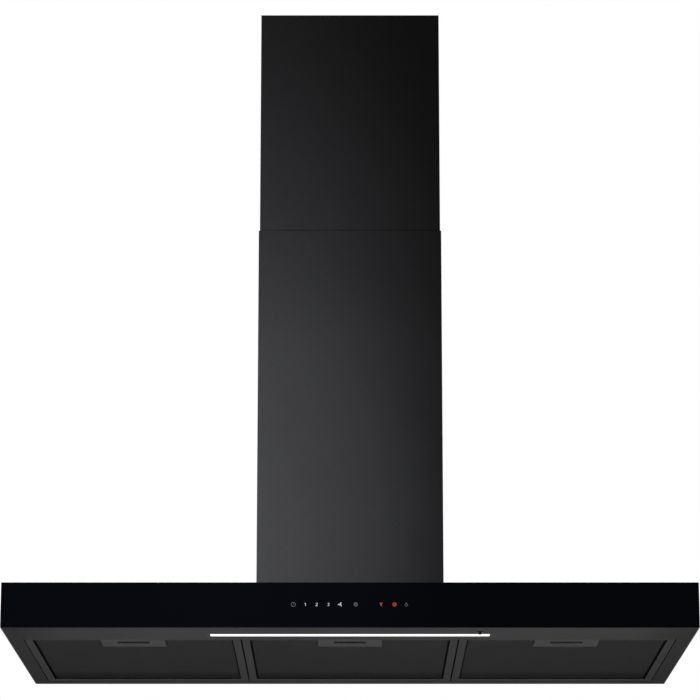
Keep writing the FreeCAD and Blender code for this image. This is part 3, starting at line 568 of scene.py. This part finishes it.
def arc(radius, start, end, centre=(0.0, 0.0), steps=20):
    """Points of an arc, with its angles in degrees."""
    points = []
    for step in range(steps + 1):
        angle = math.radians(start + (end - start) * step / steps)
        points.append((centre[0] + radius * math.cos(angle), centre[1] + radius * math.sin(angle)))
    return points


def circle(radius):
    return arc(radius, 0, 360, steps=28)[:-1]


def polygon(corners, radius):
    """Corners of a regular polygon, the first at its top."""
    turns = [math.radians(360 * corner / corners) for corner in range(corners)]
    return [(radius * math.sin(turn), radius * math.cos(turn)) for turn in turns]


def fan_blade(tip):
    """One curved blade, from the hub outwards, with its tip at an angle in degrees."""
    drawn_tip = 31
    blade = arc(1.6, 200, 60, (1.45, 0.0), 8)
    turn = math.radians(tip - drawn_tip)
    cos, sin = math.cos(turn), math.sin(turn)
    return [(x * cos - z * sin, x * sin + z * cos) for x, z in blade]


# Each tone's colour, and how strongly the symbols shine.
SYMBOL_TONES = {
    "bright": (0.6, 0.61, 0.63),
    "pale": (0.5, 0.51, 0.53),
    "soft": (0.17, 0.172, 0.178),
    "dim": (0.11, 0.113, 0.12),
    "amber": (0.36, 0.07, 0.02),
    "red": (0.25, 0.021, 0.015),
}
SYMBOL_STRENGTH = 0.9
# The symbols' middles, above the glass's lower edge.
SYMBOL_HEIGHT = 0.0297
DIGIT_TOP, DIGIT_FOOT = 1.75, -1.75
MM = 0.001


def symbol_lines():
    """Each lit symbol: its place along X, its tone, and its lines as (points, closed, width).

    All lengths are in millimetres.
    """
    one = [(-0.65, 1.0), (0.25, DIGIT_TOP), (0.25, DIGIT_FOOT)]
    two = arc(0.95, 165, -35, (0.0, 0.8), 12) + [(-1.05, DIGIT_FOOT), (1.15, DIGIT_FOOT)]
    three_top = arc(0.9, 150, -90, (0.0, 0.87), 12)
    three_foot = arc(0.95, 90, -150, (0.0, -0.85), 12)
    hands = [(0.0, 1.3), (0.0, 0.0), (0.9, -0.6)]
    funnel = [(-1.6, 1.7), (1.6, 1.7), (0.5, 0.1), (0.5, -1.9), (-0.5, -1.4), (-0.5, 0.1)]
    shade = [(0.0, 2.1), (1.85, -0.5), (1.0, -1.9), (-1.0, -1.9), (-1.85, -0.5)]
    return {
        "power": (-72.8, "dim", [(circle(2.75), True, 0.42), ([(0.0, -0.7), (0.0, 1.1)], False, 0.45)]),
        "one": (-57.5, "pale", [(one, False, 0.6)]),
        "two": (-42.8, "pale", [(two, False, 0.5)]),
        "three": (-27.9, "pale", [(three_top, False, 0.5), (three_foot, False, 0.5)]),
        "fan": (-12.6, "bright", [(fan_blade(tip), False, 0.75) for tip in (50, 170, 290)]),
        "timer": (7.3, "soft", [(circle(2.1), True, 0.5), (hands, False, 0.45)]),
        "filter": (40.0, "amber", [(funnel, True, 0.6)]),
        "carbon": (57.2, "red", [(polygon(6, 2.25), True, 1.25), (polygon(6, 0.75), True, 1.0)]),
        "lamp": (72.4, "dim", [(shade, True, 0.5)]),
    }


def add_symbols():
    lit = {tone: lit_plastic("symbol_" + tone, colour, SYMBOL_STRENGTH)
           for tone, colour in SYMBOL_TONES.items()}
    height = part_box("front_glass")[0].z + SYMBOL_HEIGHT
    for name, (x, tone, lines) in symbol_lines().items():
        shape = bmesh.new()
        for points, closed, width in lines:
            metres = [(across * MM, up * MM) for across, up in points]
            lay_stroke(shape, metres, width * MM, (x * MM, height), closed)
        new_object("symbol_" + name, shape, lit[tone], "canopy")


SPRING_WIRE = 0.0006
SPRING_TURNS = 7


def coil(low, high, wire, turns):
    """A wire coil along Y that fills the box low..high."""
    shape = bmesh.new()
    radius = (high.x - low.x) / 2 - wire / 2
    middle = (low + high) / 2
    sides, steps = 8, 16
    total = turns * steps
    rings = []
    for step in range(total + 1):
        angle = 2 * math.pi * step / steps
        y = low.y + wire / 2 + (high.y - low.y - wire) * step / total
        out = Vector((math.cos(angle), 0.0, math.sin(angle)))
        centre = Vector((middle.x, y, middle.z)) + out * radius
        ring = []
        for corner in range(sides):
            turn = 2 * math.pi * corner / sides
            spot = centre + (out * math.cos(turn) + Vector((0.0, 1.0, 0.0)) * math.sin(turn)) * wire / 2
            ring.append(shape.verts.new(spot))
        rings.append(ring)
    for ring, following in zip(rings, rings[1:]):
        for corner in range(sides):
            other = (corner + 1) % sides
            shape.faces.new((ring[corner], ring[other], following[other], following[corner]))
    shape.faces.new(rings[0][::-1])
    shape.faces.new(rings[-1])
    return shape


def add_springs(material):
    """A wire coil in each filter's handle, in the box of the CAD spring that it replaces. The coil keeps its
    length, though the real spring shortens towards its rear end as the latch slides back.
    """
    for name in FILTER_NAMES:
        node = "latch_spring_" + name
        low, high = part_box(node)
        shape = coil(low, high, SPRING_WIRE, SPRING_TURNS)
        spring = new_object("coil_" + name, shape, material, "filter_" + name, smooth=True)
        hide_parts(node)
        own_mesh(spring)


# Stage

FLOOR_Z = -1.5
FLOOR_REACH = 20.0
# What the floor adds to its own colour where it is seen directly, so that it looks pale.
FLOOR_GLOW = 0.72
# The world's strength as soft light, and where it is seen directly.
WORLD_SOFT, WORLD_SEEN = 0.03, 1.0


def seen_directly(tree):
    """1 for rays from the camera and for those that glass or metal sends on, and 0 for soft light."""
    path = tree.nodes.new("ShaderNodeLightPath")
    seen = path.outputs["Is Camera Ray"]
    for name in ("Is Glossy Ray", "Is Transmission Ray"):
        larger = tree.nodes.new("ShaderNodeMath")
        larger.operation = "MAXIMUM"
        tree.links.new(seen, larger.inputs[0])
        tree.links.new(path.outputs[name], larger.inputs[1])
        seen = larger.outputs[0]
    return seen


def open_from_below(material):
    """Leaves the floor see-through from its underside, so that the hood can be looked at from there."""
    tree = material.node_tree
    mix = tree.nodes.new("ShaderNodeMixShader")
    side = tree.nodes.new("ShaderNodeNewGeometry")
    clear = tree.nodes.new("ShaderNodeBsdfTransparent")
    tree.links.new(side.outputs["Backfacing"], mix.inputs[0])
    tree.links.new(tree.nodes["Principled BSDF"].outputs["BSDF"], mix.inputs[1])
    tree.links.new(clear.outputs["BSDF"], mix.inputs[2])
    tree.links.new(mix.outputs["Shader"], tree.nodes["Material Output"].inputs["Surface"])
    return material


def add_floor():
    shape = bmesh.new()
    corners = ((-1, -1), (1, -1), (1, 1), (-1, 1))
    shape.faces.new([shape.verts.new((x * FLOOR_REACH, y * FLOOR_REACH, FLOOR_Z)) for x, y in corners])
    mesh = bpy.data.meshes.new("floor")
    shape.to_mesh(mesh)
    shape.free()
    surface = Surface("floor", (0.24, 0.24, 0.24), 0.9, specular=0.0)
    surface.mottle(1.2, 0.97, 1.0)
    surface.shader.inputs["Emission Color"].default_value = (1.0, 1.0, 1.0, 1.0)
    glow = surface.span(seen_directly(surface.tree), 0.0, 1.0, 0.0, FLOOR_GLOW)
    surface.link(glow, surface.shader.inputs["Emission Strength"])
    mesh.materials.append(open_from_below(surface.done()))
    floor = bpy.data.objects.new("floor", mesh)
    bpy.context.scene.collection.objects.link(floor)


def add_world():
    """White where the camera, glass and metal see it, and a little soft light elsewhere."""
    world = bpy.data.worlds.new("studio")
    world.use_nodes = True
    bpy.context.scene.world = world
    tree = world.node_tree
    back = tree.nodes["Background"]
    back.inputs["Color"].default_value = (1.0, 1.0, 1.0, 1.0)
    strength = tree.nodes.new("ShaderNodeMapRange")
    strength.inputs["To Min"].default_value = WORLD_SOFT
    strength.inputs["To Max"].default_value = WORLD_SEEN
    tree.links.new(seen_directly(tree), strength.inputs["Value"])
    tree.links.new(strength.outputs["Result"], back.inputs["Strength"])


def place_light(name, light, place, target):
    """Puts a light at a place, turned to a target and hidden from the camera."""
    obj = bpy.data.objects.new(name, light)
    bpy.context.scene.collection.objects.link(obj)
    obj.location = place
    obj.rotation_euler = (Vector(target) - Vector(place)).to_track_quat("-Z", "Y").to_euler()
    obj.visible_camera = False
    return obj


def add_area(name, place, target, size, power):
    light = bpy.data.lights.new(name, "AREA")
    light.shape = "RECTANGLE"
    light.size, light.size_y = size
    light.energy = power
    return place_light(name, light, place, target)


def add_spot(name, place, target, half_angle, radius, power):
    """A soft-edged spot, whose light falls off from its middle to its rim."""
    light = bpy.data.lights.new(name, "SPOT")
    light.spot_size = math.radians(2 * half_angle)
    light.spot_blend = 1.0
    light.shadow_soft_size = radius
    light.energy = power
    return place_light(name, light, place, target)


def add_lights():
    """Soft light from all round, and a key in front, aimed left, that falls off to the right and upwards."""
    middle = (0.0, 0.0, 0.3)
    key = add_spot("key", place=(0.117, -1.015, 0.098), target=(-1.2, -0.285, 0.161),
                   half_angle=70.0, radius=0.05, power=57.0)
    add_area("front_low", place=(0.0, -1.0, -0.85), target=(0.0, -0.3, 0.0), size=(2.0, 0.5), power=3.0)
    add_area("below", place=(0.0, -0.62, -1.25), target=(0.0, -0.35, 0.0), size=(2.0, 0.3), power=16.0)
    add_area("above", place=(0.0, 0.5, 2.8), target=middle, size=(2.5, 1.2), power=75.0)
    behind = add_area("behind", place=(0.0, 3.0, 0.6), target=middle, size=(2.5, 2.0), power=55.0)
    for side in (-1, 1):
        add_area(f"side_{side}", place=(side * 3.0, 0.6, 0.4), target=middle, size=(1.5, 2.0), power=60.0)
    for light in (key, behind):
        light.visible_glossy = False


add_camera()
materials = make_materials()
dress_nodes(materials)
glass_pane(materials["front_glass"], materials["ground_edge"])
add_symbols()
add_springs(materials["zinc"])
add_floor()
add_world()
add_lights()
bpy.context.scene.view_settings.view_transform = "Standard"
